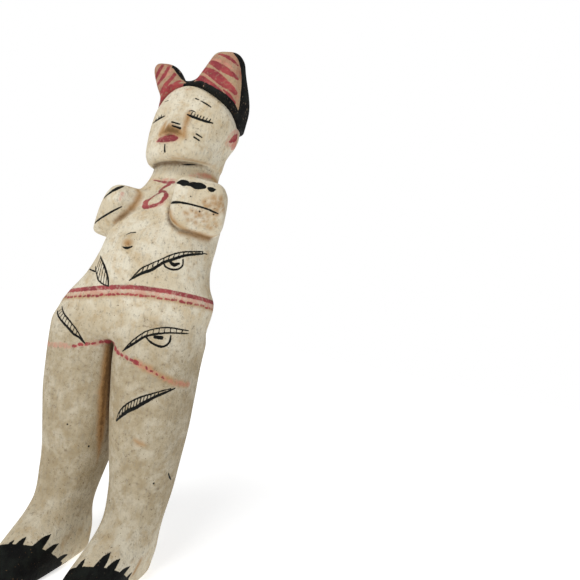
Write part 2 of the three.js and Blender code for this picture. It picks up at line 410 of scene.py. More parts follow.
def legs(x, y, z):
    """Both legs with their feet."""
    both = None
    middle = track(z, (0, 3), (30, 3), (50, 2.8), (75, 0.6), (CROTCH, -2.2))
    for side in (1, -1):
        hip = 35 + side * 1.5
        inner = track(
            z, (0, 4.5), (10, 5), (22, 6.5), (36, 5.2), (50, 2.6), (66, 0.9), (80, 0.3), (CROTCH, 0.3)
        )
        outer = track(z, (0, 27.5), (10, 28.5), (24, 29.2), (36, 30.5), (50, 31.5), (72, 34), (CROTCH, hip))
        half = (outer - inner) / 2
        one = loft(
            x, y, z,
            middle=middle + side * (inner + outer) / 2,
            depth=track(z, (0, 1), (40, 1), (CROTCH, -2)),
            left=half,
            right=half,
            front=track(
                z, (0, 36), (7, 34), (13, 26), (19, 18.5), (26, 13.5), (36, 13), (60, 16.5), (CROTCH, 17.5)
            ),
            back=track(z, (0, 13.5), (10, 14.5), (26, 12.5), (42, 15), (75, 19), (CROTCH, 21)),
            squareness=track(z, (0, 2.8), (24, 2.3), (CROTCH, 2.6)),
        )
        one = cut(cut(one, z - (CROTCH + 6), 6), -z, 3)
        both = one if both is None else join(both, one, 0.8)
    return both


def body_clay():
    clay = Clay((-41, -40, -1.5), (43, 30, 195), 0.5)
    x, y, z = clay.x, clay.y, clay.z
    field = join(trunk(x, y, z), legs(x, y, z), 3)
    navel = pebble(x, y, z, (-0.8, -20, 140.5), (4.2, 2.6, 4.2))
    field = join(field, navel, 2)
    return clay, field + clay.wobble(14, 0.25, 3) + clay.wobble(6, 0.08, 4)


def skull(x, y, z, relief=0.0):
    """The head without its features, grown by relief."""
    return loft(
        x, y, z,
        middle=HEAD_X,
        depth=HEAD_Y,
        left=relief + track(
            z, (JAW, 17), (189, 17.2), (193, 17.6), (198, 19), (203, 20.6), (208, 21.2), (217, 19.5),
            (224, 15), (230, 6),
        ),
        right=relief + track(
            z, (JAW, 17.3), (190, 18.8), (197, 19.3), (203, 19), (208, 18.5), (217, 16), (224, 12), (230, 6)
        ),
        front=relief + track(
            z, (JAW, 18.5), (190, 19.8), (200, 20), (210, 18.5), (219, 15), (225, 11), (230, 5)
        ),
        back=relief + track(
            z, (JAW, 11), (190, 12), (197, 14), (204, 17), (210, 19), (216, 19), (225, 13), (230, 5)
        ),
        squareness=2.3,
    )


def head_clay():
    clay = Clay((-22, -26, 172), (33, 32, 236), 0.42)
    x, y, z = clay.x, clay.y, clay.z
    lift = z - ((y - HEAD_Y) * 0.1 + (x - HEAD_X) * 0.13) * np.interp(z, [JAW, JAW + 16], [1, 0])
    head = skull(x, y, lift)
    head = cut(head, JAW - lift, 2.5)
    head = cut(head, z - CROWN, 3)
    for side in (1, -1):
        middle = (HEAD_X + side * 10, HEAD_Y - 24, EYES + 1.5)
        socket = pebble(x, y, z, middle, (8.5, 7, 5), 2.2, turn=side * 0.35)
        head = cut(head, -socket, 3)
    aside = np.sqrt((x - HEAD_X) ** 2 + 0.7)
    ridge = track(z, (EYES - 9, 24.4), (EYES - 4, 24.0), (EYES, 21.6), (EYES + 5, 20), (EYES + 9, 18.6))
    flank = track(z, (EYES - 9, 1.05), (EYES - 4, 1.15), (EYES, 0.9), (EYES + 5, 0.35), (EYES + 9, 0.3))
    nose = (HEAD_Y - y - ridge + aside * flank) * 0.75
    nose = cut(nose, (EYES - 8.3 + (HEAD_Y - y - 19.5) * 0.6 - z) * 0.85, 0.8)
    nose = cut(cut(nose, z - EYES - 8, 2), aside - 5.5, 1)
    head = join(head, cut(nose, y - HEAD_Y + 14, 1), 1.0)
    lips = pebble(x, y, z, (HEAD_X - 1.7, HEAD_Y - 19.0, EYES - 10.4), (4.9, 2.3, 1.7), 2, roll=0.25)
    head = join(head, lips, 0.8)
    return clay, head + clay.wobble(12, 0.2, 7) + clay.wobble(5, 0.06, 8)


def hair_clay():
    clay = Clay((-27, -18, 186), (38, 36, 246), 0.42)
    x, y, z = clay.x, clay.y, clay.z
    cap = skull(x, y, z, HAIR_RELIEF)
    cap = cut(cap, z - CROWN, 3)
    lobes = (
        # side, top, middles at foot and tip, then half widths at foot, middle and tip,
        # towards the notch between the lobes and away from it
        (1, CREST_TOP, (10, 14.3), (14, 14.5, 9.5), (12, 13.8, 8)),
        (-1, LOW_CREST_TOP, (8, 18.5), (12, 13.5, 9), (8.5, 7.5, 6.6)),
    )
    for side, top, (foot_x, tip_x), inner, outer in lobes:
        widths = [
            track(z, (206, w[0]), (220, w[1]), (top - 5, w[2]), (top, w[2] - 1)) for w in (inner, outer)
        ]
        left, right = widths if side < 0 else widths[::-1]
        lobe = loft(
            x, y, z,
            middle=track(z, (210, HEAD_X + side * foot_x), (top, HEAD_X + side * tip_x)),
            depth=track(z, (206, HEAD_Y), (CREST_TOP, HEAD_Y - 8)),
            left=left,
            right=right,
            front=track(z, (206, 12), (220, 13), (top - 8, 9), (top, 6.5)),
            back=track(z, (206, 12), (220, 14), (top - 8, 8), (top, 5)),
            squareness=2.6,
        )
        lobe = cut(cut(lobe, z - top, 3.5), 204 - z, 3)
        cap = join(cap, lobe, 4)
    cap = cut(cap, -hairline(x, y, z), 1)
    return clay, cap + clay.wobble(10, 0.2, 9)


ARMS = {
    # centre, half sizes, turn, droop, roll and the carver's flat cuts as (point, direction out of the arm)
    1: (
        (23, -8, 164), (11.3, 11.2, 11.6), 0.3, 0.1, 0.0,
        [
            ((19.5, -19.5, 152.8), (0.6, -0.5, -0.63)),
            ((14.4, -18, 154.9), (-0.69, 0, -0.72)),
        ],
    ),
    -1: (
        (-19.4, -7, 157), (17.5, 9.2, 11), -0.5, 0.2, 0.6,
        [
            ((-23.8, -15.3, 150), (-0.87, -0.5, 0.1)),
            ((-16, -15, 144.9), (0, 0, -1)),
            ((-15, -18, 163.4), (-0.65, 0.2, 0.76)),
            ((-8.5, -17, 168.8), (0.2, -0.05, 0.97)),
            ((-8.1, -20, 156), (0.8, -0.6, -0.65)),
        ],
    ),
}


def arm_clay(side):
    centre, half, turn, droop, roll, cuts = ARMS[side]
    clay = Clay([c - 24 for c in centre], [c + 24 for c in centre], 0.5)
    x, y, z = clay.x, clay.y, clay.z
    block = pebble(x, y, z, centre, half, 4.5, turn, droop, roll)
    for point, out in cuts:
        size = math.sqrt(sum(c * c for c in out))
        plane = ((x - point[0]) * out[0] + (y - point[1]) * out[1] + (z - point[2]) * out[2]) / size
        block = cut(block, plane, 2.5)
    return clay, block + clay.wobble(12, 0.3, 20 + side)


def ear_clay(side):
    centre = (HEAD_X + side * 19.4, HEAD_Y + 2, 204.2)
    clay = Clay([c - 9 for c in centre], [c + 9 for c in centre], 0.3)
    rim = pebble(clay.x, clay.y, clay.z, centre, (2.0, 2.4, 4.6), 2.3, droop=0.35)
    return clay, rim + clay.wobble(4, 0.12, 30 + side)


SEAM = 0.06  # a piece that grows out of another lies this far over its skin
GROWTH = {"head": 1.6, 1: 1.8, -1: 3.2}  # how softly the head and each arm grow out of the body


def figure():
    """Every carving, where pieces that grow out of one another share one flowing skin."""
    blocks = {"body": body_clay(), "head": head_clay(), 1: arm_clay(1), -1: arm_clay(-1)}
    body_grid, body = blocks["body"]
    whole = body
    for name, blend in GROWTH.items():
        whole = join(whole, body_grid.regrid(*blocks[name]), blend)
    # The body draws back under the pieces that cover it.
    shy = whole
    for name, blend in GROWTH.items():
        cover = blend * 0.7 - body_grid.regrid(*blocks[name])
        shy = np.maximum(shy, whole + np.clip((cover - 0.6) * 0.5, 0, 3) * (cover > 0.6))
    carvings = {"body": Carving(body_grid, shy, whole)}
    for name, blend in GROWTH.items():
        grid, block = blocks[name]
        flowing = join(block, grid.regrid(body_grid, body), blend)
        carvings[name] = Carving(grid, cut(flowing - SEAM, block - blend * 0.7, 0.4), flowing)
    head_grid, head = blocks["head"]
    for name, side in (("ear_left", 1), ("ear_right", -1)):
        grid, rim = ear_clay(side)
        flowing = join(rim, grid.regrid(head_grid, head), 1.2)
        carvings[name] = Carving(grid, cut(flowing - SEAM, rim - 0.5, 0.4), flowing)
    carvings["hair"] = Carving(*hair_clay())
    return carvings


# ---- designs

CHEST_AXIS = (4, 4)  # upright axes that the strokes are placed round
WAIST_AXIS = (0, 0)
HEAD_AXIS = (HEAD_X, HEAD_Y)
THIGH_AXES = {1: (17, -1), -1: (-16, -1)}


def between(line, angle):
    """The height of a line of (angle, height, half width) points at an angle."""
    return float(np.interp(angle, [p[0] for p in line], [p[1] for p in line]))


def leaf(brush, thick, thin, ticks):
    """A pointed leaf: a thick lower line, a thin upper line and a ladder of ticks between them."""
    brush("black", *thick)
    brush("black", *thin)
    for angle in ticks:
        low, high = between(thick, angle), between(thin, angle + 1)
        brush("black", (angle, low, 0.2), (angle + 1, high, 0.16))


def dashes(coat, paint, axis, line, spacing, length, width):
    """An uneven row of short dashes along a line of (angle, height) points."""
    rng = np.random.default_rng(len(coat.marks))
    for angle in np.arange(line[0][0], line[-1][0], spacing):
        shift, low, high, thick = rng.uniform(-1, 1, 4)
        start = angle + shift * spacing * 0.1
        end = start + length
        half = width * (1 + 0.3 * thick)
        first = (start, between(line, start) + 0.3 * low, half)
        last = (end, between(line, end) + 0.3 * high, half * 0.8)
        coat.around(paint, axis, [first, last])


def wash(brush, paint, middle, size, count, widest):
    """Uneven drops of watery paint, scattered over an oval."""
    rng = np.random.default_rng(count)
    for _ in range(count):
        angle, far = rng.uniform(0, math.tau), math.sqrt(rng.uniform())
        place = middle[0] + size[0] * far * math.cos(angle)
        height = middle[1] + size[1] * far * math.sin(angle)
        brush(paint, (place, height, widest - rng.uniform(0, 1.2)))


def body_coat(carving):
    coat = Coat(carving)
    chest, waist = coat.brush(CHEST_AXIS), coat.brush(WAIST_AXIS)
    left, right = coat.brush(THIGH_AXES[1]), coat.brush(THIGH_AXES[-1])
    # The sign on the chest: a bar, a hook and a loop.
    chest("red", (-28, 173.8, 0.2), (-14, 173.4, 0.45), (3, 173.1, 0.7), (17, 173.7, 0.8))
    chest("red", (10, 172.4, 0.8), (1, 170, 0.6), (-2, 168.2, 0.7))
    chest("red", (-2, 168, 0.7), (7, 168.2, 0.7), (12, 166.4, 1.1), (11, 164.6, 1.2))
    chest("red", (11, 164.6, 0.9), (7, 162, 0.8), (-1, 160.2, 1), (-9, 159, 1.3), (-12, 159.3, 1.3))
    chest("red", (-12, 159.4, 1.3), (-14, 161.6, 1.1), (-11, 163.6, 0.5), (-5, 166.2, 0.4), (2, 168, 0.5))
    chest("pink", (-34, 174.4, 0.6), (-10, 174, 1), (16, 174.4, 1.2))
    chest("pink", (13, 166, 1.5), (9, 162, 1.3), (-6, 159.4, 1.5))
    chest("pink", (44, 179.2, 0.6), (60, 180.6, 1.3), (78, 182, 1))
    chest("stain", (62, 181, 0.4), (84, 182, 1.2), (108, 181, 1))
    chest("black", (24, 183.2, 0.1), (36, 183.8, 0.35), (50, 184.8, 0.1))
    # Navel.
    chest("stain", (-6, 140.6, 1.6))
    chest("black", (-10, 138.6, 0.2), (-8, 138.3, 0.4), (-5, 138.5, 0.55), (-1.5, 139.5, 0.25))
    chest("black", (-11, 144.3, 0.2), (-9, 145.4, 0.3), (-4, 146, 0.2))
    # Leaves on the belly.
    thick = [
        (4, 125.1, 0.25), (9, 127.1, 0.45), (15, 129.2, 0.6), (22, 131.1, 0.65), (27, 133.4, 0.6),
        (32, 135.7, 0.6), (39, 137.8, 0.6), (46, 140, 0.6), (53, 141.5, 0.55), (62, 143, 0.5),
        (68, 143.8, 0.25),
    ]
    thin = [
        (4, 125.1, 0.2), (9, 128.5, 0.25), (13, 131, 0.3), (20, 133.5, 0.28), (27, 135.9, 0.25),
        (32, 137.8, 0.25), (38, 139.9, 0.3), (46, 141.8, 0.3), (56, 143.3, 0.3), (67, 144.7, 0.25),
    ]
    leaf(chest, thick, thin, range(14, 67, 4))
    chest("black", (67, 144, 0.2), (74, 144.4, 0.25))
    chest(
        "black", (31, 135.6, 0.3), (33, 134, 0.35), (38, 133.2, 0.4), (44, 133.9, 0.4), (47.5, 136, 0.35),
        (47, 138.5, 0.25),
    )
    chest("black", (36.5, 136.2, 0.4), (40, 135.4, 0.8), (44, 136.4, 0.45))
    thick = [(-36, 133.2, 0.3), (-30, 131.2, 0.4), (-25, 129, 0.5), (-19, 125, 0.5), (-16, 121, 0.3)]
    thin = [(-37, 128.4, 0.25), (-31, 124.8, 0.3), (-28, 122.8, 0.3), (-22, 121.4, 0.3), (-16, 121, 0.2)]
    leaf(chest, thick, thin, range(-35, -19, 3))
    chest("black", (-48, 127, 0.25), (-35, 126.2, 0.35))
    # Belt: an arched line that runs all round, with a row of dashes under it.
    belt = [
        (-90, 114), (-54, 116.4), (-31, 118.6), (-7, 120.6), (16, 122.3), (36, 123.2), (54, 123.7),
        (75, 123.8), (90, 123.6), (120, 123), (150, 122), (180, 120.5), (210, 118), (240, 115.5),
        (270, 114),
    ]
    waist("red", *[(angle, height, 0.95) for angle, height in belt])
    waist("pink", *[(angle, height - 1.2, 1.9) for angle, height in belt])
    dashes(coat, "red", WAIST_AXIS, [(angle, height - 3.1) for angle, height in belt], 5.2, 2.6, 0.5)
    waist("stain", *[(angle, height - 3.4, 0.4) for angle, height in belt])
    # Loincloth line: a blob over the groove and dotted lines round both thighs.
    left("red", (-52, 98.4, 1.1), (-46, 97.4, 1.2))
    right("red", (44, 97.6, 0.8), (50, 97.2, 1))
    line = [(-41, 95.6), (-36, 94.7), (-16, 93.3), (-3, 92.4), (16, 91), (39, 88), (53, 87), (80, 86)]
    dashes(coat, "red", THIGH_AXES[1], line[:4], 7.5, 3, 0.85)
    dashes(coat, "red", THIGH_AXES[1], line[3:6], 7.5, 2, 0.35)
    dashes(coat, "pink", THIGH_AXES[1], line, 8.5, 4, 1.1)
    dashes(coat, "stain", THIGH_AXES[1], line[3:], 7, 3, 0.9)
    line = [(-80, 90), (-40, 91), (5, 92.8), (14, 94.3), (25, 95.4), (36, 96.4), (45, 97.6)]
    dashes(coat, "red", THIGH_AXES[-1], line[2:], 8, 3, 0.65)
    dashes(coat, "pink", THIGH_AXES[-1], line, 8, 4, 1)
    # Leaves on the hips and the thigh.
    thick = [
        (25, 95.6, 0.25), (30, 97.8, 0.45), (35, 100, 0.55), (43, 103.8, 0.5), (56, 106.6, 0.45),
        (72, 108, 0.25),
    ]
    thin = [
        (25, 95.6, 0.2), (31, 99.8, 0.3), (37, 103.2, 0.3), (44, 106.2, 0.3), (57, 108.8, 0.3),
        (72, 109.2, 0.25),
    ]
    leaf(waist, thick, thin, range(31, 69, 4))
    waist(
        "black", (43, 103.4, 0.3), (46, 102, 0.4), (51, 101, 0.45), (55, 101, 0.45), (58, 103, 0.4),
        (59, 106, 0.3),
    )
    waist("black", (49, 104.2, 0.7), (53, 104.4, 0.8))
    thick = [
        (-40, 106, 0.3), (-20, 102, 0.45), (-8, 99.8, 0.5), (1, 98, 0.5), (10, 97, 0.4), (19, 95, 0.25),
    ]
    thin = [(-40, 108.4, 0.25), (-20, 105, 0.3), (-8, 102.8, 0.3), (4, 100, 0.3), (19, 95, 0.2)]
    leaf(right, thick, thin, range(-36, 10, 5))
    thick = [
        (-18, 66.9, 0.3), (-8, 70.1, 0.65), (0, 72.4, 0.75), (10, 74.4, 0.75), (22, 77.7, 0.65),
        (32, 80.4, 0.55), (43, 82.7, 0.45), (54, 84.7, 0.25),
    ]
    thin = [
        (-18, 67.4, 0.2), (-16, 70, 0.25), (-11, 72.6, 0.3), (-4, 75, 0.3), (5, 77.2, 0.3), (14, 79.1, 0.3),
        (26, 81.2, 0.3), (37, 83, 0.25), (48, 84.4, 0.2),
    ]
    leaf(left, thick, thin, range(-14, 38, 4))
    # Stains, scratches and pits.
    left("stain", (18, 61.5, 0.1), (26, 60.6, 0.5), (34, 60.1, 0.1))
    left("black", (81, 47.8, 0.25), (86, 46, 0.4), (94, 44.1, 0.2))
    right("black", (58, 51.4, 0.4))
    left("black", (59, 44.5, 0.4))
    left("black", (-20, 33, 0.25))
    right("black", (20, 60, 0.3))
    right(
        "stain", (50, 95, 1.4), (56, 84, 2.2), (62, 72, 2.2), (68, 62, 1.8), (76, 52, 1), (84, 44, -0.4),
        (88, 36, -1.4),
    )
    left("stain", (-58, 94, 1), (-68, 80, 1.9), (-76, 62, 2.1), (-82, 46, 1.4))
    left("stain", (60, 8, 0.6), (70, 12, 0.8))
    chest("stain", (40, 150, 0.2), (52, 150.4, 0.8), (66, 150, 0.2))
    # Toes: a black mass with thorn-like claws that curve up over the foot.
    for foot_x in (17, -11):
        origin = np.array([foot_x, -8, 5.0])
        # They are painted on from the front, above and the doll's left.
        out = np.array([0.416, -0.572, 0.707])
        across = np.array([0.809, 0.588, 0.0])
        rise = np.cross(out, across)
        claws = (
            # where it starts and ends across the foot, how high it starts and ends, and its half width
            (-20, -17, -6, -1.5, 1.6), (-16, -13.2, -6, -1, 1.5), (-12.2, -9.2, -6, -0.3, 1.8),
            (-5.4, -0.4, -6.5, 0.8, 2.2), (-1, 3.4, -7, -1.6, 1.8), (3.4, 8.2, -8, -3.2, 1.6),
            (6.8, 9.9, -8.5, -4.4, 1.4),
        )
        for start, end, foot, tip, width in claws:
            middle = (start * 0.4 + end * 0.6, foot * 0.35 + tip * 0.65, width * 0.62)
            coat.onto("black", origin, across, rise, [(start, foot, width), middle, (end, tip, 0.12)])

        def mass(x, y, z, origin=origin, across=across, rise=rise):
            d = np.stack([x, y, z], axis=1) - origin
            own = np.abs(x - origin[0]) - 15
            return np.maximum.reduce([(d @ rise) + 5 + 0.18 * (d @ across), y + 9, own])

        coat.area("black", mass)
    return coat


def head_coat(carving):
    coat = Coat(carving)
    face = coat.brush(HEAD_AXIS)
    left_eye = [
        (14, 204.6, 0.3), (18, 204.4, 0.5), (24, 204.2, 0.6), (32, 203.8, 0.55), (40, 203.5, 0.6),
        (47, 203.7, 0.25),
    ]
    face("black", *left_eye)
    for angle in range(18, 46, 4):
        height = between(left_eye, angle)
        face("black", (angle, height, 0.28), (angle + 1.5, height + 1.6, 0.2))
    face("black", (15, 206.2, 0.12), (19, 206.8, 0.2), (24, 206.4, 0.12))
    right_eye = [(-40, 200.4, 0.4), (-33, 202, 0.5), (-28, 202.9, 0.45), (-22, 203.5, 0.2)]
    face("black", *right_eye)
    for angle in (-38, -34, -30):
        height = between(right_eye, angle)
        face("black", (angle, height, 0.25), (angle + 1, height + 1.6, 0.2))
    face("black", (19, 213.5, 0.35), (23, 213.2, 0.3))
    face("black", (27, 212.8, 0.25), (34, 212, 0.45), (41, 211, 0.25))
    face("black", (-30, 211, 0.15), (-24, 211.4, 0.25))
    # Dashes on the nose and the cheek.
    face("black", (1, 198.4, 0.45), (8, 198.9, 0.4))
    face("black", (3, 196.7, 0.4), (10, 197.1, 0.5))
    face("black", (31, 196.3, 0.35), (38, 195.7, 0.3))
    face("black", (29, 194.6, 0.4), (36, 194, 0.35))
    # Mouth, with a line below it.
    face("pink", (-19, 190.4, 1.3), (-9, 191.3, 2.2), (1, 191.8, 2.1), (9, 192.5, 1.2))
    face("red", (-18, 190.3, 0.8), (-12, 190.9, 1.6), (-4, 191.4, 1.8), (3, 191.9, 1.6), (8, 192.5, 0.8))
    face("black", (-6.5, 188.8, 0.25), (-6, 187, 0.35), (-5.5, 185.8, 0.45))
    # Brown stain and painted shade in the hollows beside and under the nose.
    face("stain", (16, 206, 0.3), (15, 203, 0.9), (15, 199, 0.8), (16, 194, 1.3))
    face("stain", (-14, 200, 0.3), (-13, 197, 1.2), (-15, 194, 1.6))
    face("stain", (-14, 194.6, 1.7), (-4, 194.6, 2.6), (6, 194.8, 2.5), (14, 194.4, 1.4))
    # Painted shade, with some grime, under the jaw.
    face(
        "stain", (-60, 183.4, -0.9), (-20, 183.6, -0.4), (20, 184.4, -0.2), (50, 185.8, -0.2),
        (75, 187.4, -0.9),
    )
    face("pink", (-6, 218.4, 0.3), (4, 218.8, 0.7))
    # Rouge over the ears.
    for side in (1, -1):
        face("pink", (side * 80, 200.2, 2), (side * 88, 203.6, 4), (side * 96, 207.2, 2.8))
        face("red", (side * 83, 201.2, 0.6), (side * 89, 203.8, 1.7), (side * 95, 206.6, 0.9))
    return coat


def hairline(x, y, z):
    """Distance above and behind the edge of the hair, which arches over the forehead."""
    arch = 4.8 * np.exp(-(((x - 6) / 11) ** 2)) + 0.5 * np.minimum(x + 4, 0)
    tilt = np.where(y < HEAD_Y, (y - HEAD_Y) * 0.45, (HEAD_Y - y) * 0.12)
    return (z - 209.3 - arch) * 0.89 + tilt


def hair_coat(carving):
    coat = Coat(carving)
    across, rise = (0.9, 0.44, 0), (0, 0, 1)
    left, right = (19, 1, 0), (-9, 1, 0)
    tall, low = coat.slab(left, across, rise), coat.slab(right, across, rise)
    tall("red", (-7.4, 238, 0.5), (-4, 236.6, 0.9), (-0.6, 234.9, 0.8), (2, 233.6, 0.4))
    tall("red", (-10.5, 233.4, 1), (-6.4, 231, 1.7), (-2.3, 229, 1.6), (3.2, 227.4, 0.8))
    tall("red", (-12.6, 229.4, 1.4), (-7.7, 226.6, 2.1), (-3, 223.6, 2.1), (3.6, 220.8, 1.2))
    tall("red", (-14.5, 225.4, 1.6), (-10.9, 222.8, 1.7), (-6.4, 220.4, 1.5), (-0.6, 217.4, 0.8))
    tall("red", (-1.6, 220, 0.4), (1.4, 218.3, 0.9), (4.4, 216.6, 0.6))
    tall("pink", (-11.5, 235.5, 0.5), (-6, 233.5, 0.8), (0, 231, 0.6))
    tall("pink", (-12, 226.5, 0.6), (-5, 224.6, 0.9), (2.6, 222.6, 0.8), (5.4, 219.2, 0.6))
    low("red", (-9.8, 223, 0.8), (-8.8, 227.4, 1.1), (-7.4, 231.6, 0.7))
    low("red", (-7.4, 218.6, 0.7), (-6, 224.4, 1.1), (-4.2, 231.4, 0.6))
    low("red", (-5.6, 215.4, 0.9), (-2.9, 220.8, 1.2), (-0.8, 227.8, 0.8))
    low("red", (-3.2, 214.2, 1), (0, 219.2, 1.3), (2.6, 224.2, 0.9))
    low("pink", (-8.4, 220, 0.8), (-4.6, 226.8, 1.6), (-2.6, 230.6, 0.8))

    def tall_back(x, y, z):
        """Behind an edge that falls down the side of the tall lobe."""
        heights = [214, 217.3, 221, 225.5, 230.2, 234, 236.3, 239]
        edge = np.interp(z, heights, [6.9, 6.8, 6.3, 5.7, 4.7, 3.3, 1.8, -1.1])
        return np.maximum(edge - (x - left[0]) * 0.9 - (y - left[1]) * 0.44, HEAD_X - 2 - x)

    def low_inside(x, y, z):
        """The slope of the low lobe that faces the notch."""
        place = (x - right[0]) * 0.9 + (y - right[1]) * 0.44
        edge = np.interp(place, [-2.1, 0.9, 3.9, 6.6], [230.8, 228, 225.4, 221.6])
        return np.maximum((edge - z) * 0.75, np.maximum(x - 6.5, -3 - place))

    coat.area("black", tall_back)
    coat.area("black", low_inside)
    coat.area("black", lambda x, y, z: np.maximum(hairline(x, y, z) - 1.5, 1.5 - x))
    coat.area("red", lambda x, y, z: np.maximum(hairline(x, y, z) - 1.5, x - 1.5))
    coat.area("black", lambda x, y, z: 6.5 - y)
    return coat


def arm_coat(carving, side):
    coat = Coat(carving)
    across, rise = (0.866, 0.5, 0), (0, 0, 1)
    if side > 0:
        brush = coat.slab((22, -8, 0), across, rise)
        # A line across the middle, and a worn band along the top.
        brush("black", (-12, 161.2, 0.3), (-10.3, 161.4, 0.6), (-7.9, 161.7, 0.45), (-3.8, 161.8, 0.4))
        brush("black", (-3.8, 161.8, 0.4), (3, 161.6, 0.38), (6.7, 161.3, 0.4), (8.4, 161.3, 0.25))
        brush("black", (-11, 170.1, 0.5), (-9.6, 170.5, 1.2), (-8.2, 170.3, 1.5), (-7, 170.7, 0.8))
        brush(
            "black", (-6.6, 169.9, 0.6), (-4.8, 170.4, 1.2), (-3.2, 170.2, 1.6), (-1.6, 170.6, 1.5),
            (0, 170.5, 0.9),
        )
        brush("black", (1.9, 170.2, 0.5), (3.2, 170, 1.1), (4.6, 170.4, 0.4))
        brush("black", (-4.5, 165.1, 0.3))
        brush("black", (0.5, 159.8, 0.35))
        brush("black", (6.6, 160.4, 0.3))
        # Brown stain and painted shade along the bottom of the arm.
        brush("stain", (-11.6, 158.6, 0.4), (-10.2, 154.8, 1.1), (-7.5, 152.8, 0.7), (-3.9, 151.8, 0.6))
        brush(
            "stain", (-3.9, 151.8, 0.6), (-0.3, 151.4, 0.7), (3.6, 151.3, 1.2), (7.3, 151.6, 1.3),
            (10.7, 152.4, 0.7),
        )
        wash(brush, "stain", (6.5, 164), (5, 3.6), 60, 1)
        wash(brush, "stain", (2, 157.5), (8, 3), 50, 0.5)
    else:
        brush = coat.slab((-16, -8, 0), across, rise)
        brush("black", (-9.8, 148.5, 0.4), (-7, 150.4, 0.42), (-2.8, 153.1, 0.4), (1.3, 156.4, 0.25))
        brush("pink", (-0.2, 163, 0.5), (0.5, 161.6, 0.9), (0.1, 160, 0.7), (0, 158.6, 0.4))
        # Brown stain and painted shade where the arm meets the chest.
        brush(
            "stain", (6.1, 166.5, 0.6), (7.2, 164.7, 1), (6.8, 161.7, 1.2), (6.4, 159.6, 0.8),
            (5.2, 157.4, 1.1),
        )
        brush(
            "stain", (5.2, 157.4, 1.1), (4.3, 155.8, 0.8), (3, 153.7, 1), (1.3, 151.6, 0.8),
            (-0.4, 149.5, 0.3),
        )
        ridge = coat.slab((-11.5, -15.8, 0), across, rise)
        ridge(
            "black", (-8.6, 157.6, 0.2), (-6, 160.4, 0.35), (-3.8, 162.4, 0.6), (-2, 164, 0.7),
            (0, 165.9, 0.3),
        )
    return coat


# ---- materials

class Value:
    """A number that shader nodes work out at each point of a surface."""

    def __init__(self, tree, socket):
        self.tree = tree
        self.socket = socket

    def maths(self, operation, *terms):
        node = self.tree.nodes.new("ShaderNodeMath")
        node.operation = operation
        for slot, term in zip(node.inputs, terms):
            if isinstance(term, Value):
                self.tree.links.new(term.socket, slot)
            else:
                slot.default_value = term
        return Value(self.tree, node.outputs[0])

    def __add__(self, other):
        return self.maths("ADD", self, other)

    def __sub__(self, other):
        return self.maths("SUBTRACT", self, other)

    def __mul__(self, other):
        return self.maths("MULTIPLY", self, other)

    def fade(self, start, end, low=0.0, high=1.0):
        """Goes softly from low to high as this number goes from start to end."""
        node = self.tree.nodes.new("ShaderNodeMapRange")
        node.interpolation_type = "SMOOTHSTEP"
        for slot, value in zip(node.inputs[1:5], (start, end, low, high)):
            slot.default_value = value
        self.tree.links.new(self.socket, node.inputs[0])
        return Value(self.tree, node.outputs[0])


class Finish:
    """A material whose numbers and colours come from nodes. Sizes are in millimetres."""

    def __init__(self, name):
        self.material = bpy.data.materials.new(name)
        self.material.use_nodes = True
        self.tree = self.material.node_tree
        self.shader = self.tree.nodes["Principled BSDF"]
        self.place = self.tree.nodes.new("ShaderNodeTexCoord").outputs["Object"]

    def noise(self, size, detail=2.0, rough=0.5, long=1.0, shift=0.0):
        """Random waves of about that size, drawn out along the height when long is over 1."""
        mapping = self.tree.nodes.new("ShaderNodeMapping")
        scale = 1 / (size * MM)
        mapping.inputs["Scale"].default_value = (scale, scale, scale / long)
        mapping.inputs["Location"].default_value = (shift, shift * 2, shift * 3)
        node = self.tree.nodes.new("ShaderNodeTexNoise")
        node.inputs["Scale"].default_value = 1.0
        node.inputs["Detail"].default_value = detail
        node.inputs["Roughness"].default_value = rough
        self.tree.links.new(self.place, mapping.inputs["Vector"])
        self.tree.links.new(mapping.outputs[0], node.inputs["Vector"])
        return Value(self.tree, node.outputs[0])

    def height(self):
        """Millimetres above the floor."""
        node = self.tree.nodes.new("ShaderNodeSeparateXYZ")
        self.tree.links.new(self.place, node.inputs[0])
        return Value(self.tree, node.outputs[2]) * (1 / MM)

    def measured(self, name):
        node = self.tree.nodes.new("ShaderNodeAttribute")
        node.attribute_name = name
        return Value(self.tree, node.outputs["Fac"])

    def mix(self, under, over, amount):
        """One colour laid over another, each a colour or an earlier mix."""
        node = self.tree.nodes.new("ShaderNodeMix")
        node.data_type = "RGBA"
        for slot, colour in ((node.inputs[6], under), (node.inputs[7], over)):
            if isinstance(colour, Value):
                self.tree.links.new(colour.socket, slot)
            else:
                slot.default_value = (*colour, 1)
        self.tree.links.new(amount.socket, node.inputs[0])
        return Value(self.tree, node.outputs[2])

    def feed(self, value, name):
        self.tree.links.new(value.socket, self.shader.inputs[name])

    def relief(self, *layers):
        """Bump from (height value, distance in millimetres) layers."""
        normal = None
        for height, depth in layers:
            node = self.tree.nodes.new("ShaderNodeBump")
            node.inputs["Distance"].default_value = depth * MM
            self.tree.links.new(height.socket, node.inputs["Height"])
            if normal is not None:
                self.tree.links.new(normal, node.inputs["Normal"])
            normal = node.outputs[0]
        self.tree.links.new(normal, self.shader.inputs["Normal"])


GREYED = (0.36, 0.33, 0.27)
TAN = (0.34, 0.27, 0.165)
UMBER = (0.12, 0.07, 0.032)
BARK = (0.16, 0.085, 0.03)
RUST = (0.40, 0.21, 0.07)
PINK = (0.58, 0.25, 0.19)
CRIMSON = (0.36, 0.045, 0.055)
MAROON = (0.22, 0.022, 0.038)
SOOT = (0.003, 0.003, 0.003)
GREENISH = (0.009, 0.011, 0.009)


